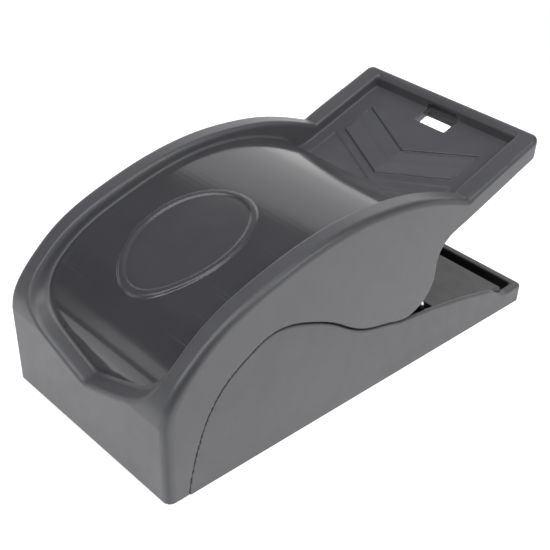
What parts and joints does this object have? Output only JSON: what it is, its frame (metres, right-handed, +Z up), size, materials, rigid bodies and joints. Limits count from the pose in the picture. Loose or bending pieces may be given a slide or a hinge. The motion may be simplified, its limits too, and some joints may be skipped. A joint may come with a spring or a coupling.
{
  "type": "snap mouse trap",
  "caption": "Snap mouse trap with a sprung moulded jaw shell, finger paddle, tray base, baited pressure plate and latch loop",
  "frame": {"origin": "middle of the bounding box's underside, on the standing surface", "axes": "+Z up; -Y is the jaw's mouth, +Y the finger paddle and tail; X is the width"},
  "size_m": [0.051, 0.1105, 0.0455],
  "materials": {
    "shell_plastic": "satin mould finish on rims and sides, glossy top panel, dark grey",
    "base_plastic": "satin mould finish, dark grey",
    "cover_plastic": "satin mould finish, dark grey",
    "lever_plastic": "satin mould finish, near-black grey",
    "cup_plastic": "satin mould finish, near-black grey",
    "pin_steel": "drawn steel bar, lightly oiled",
    "wire_steel": "bright zinc-plated spring wire"
  },
  "bodies": {
    "base": {"base_housing": "base_plastic", "tail_cover": "cover_plastic", "pivot_pin": "pin_steel", "trigger_pin": "pin_steel", "bait_cup": "cup_plastic", "torsion_spring": "wire_steel"},
    "jaw": {"jaw_shell": "shell_plastic", "kill_bar": "pin_steel", "latch_loop": "wire_steel"},
    "trigger": {"trigger_lever": "lever_plastic"}
  },
  "joints": [
    {"name": "jaw_hinge", "type": "hinge", "parent": "base", "child": "jaw", "pos_m": [0, 0.0101, 0.0228], "axis": [-1, 0, 0], "range_deg": [0, 42], "stiffness_Nm_per_rad": 0.15, "springref_deg": -45.84, "deforming": ["torsion_spring"]},
    {"name": "trigger_hinge", "type": "hinge", "parent": "base", "child": "trigger", "pos_m": [0, 0.0063, 0.0046], "axis": [-1, 0, 0], "range_deg": [0, 8]}
  ]
}
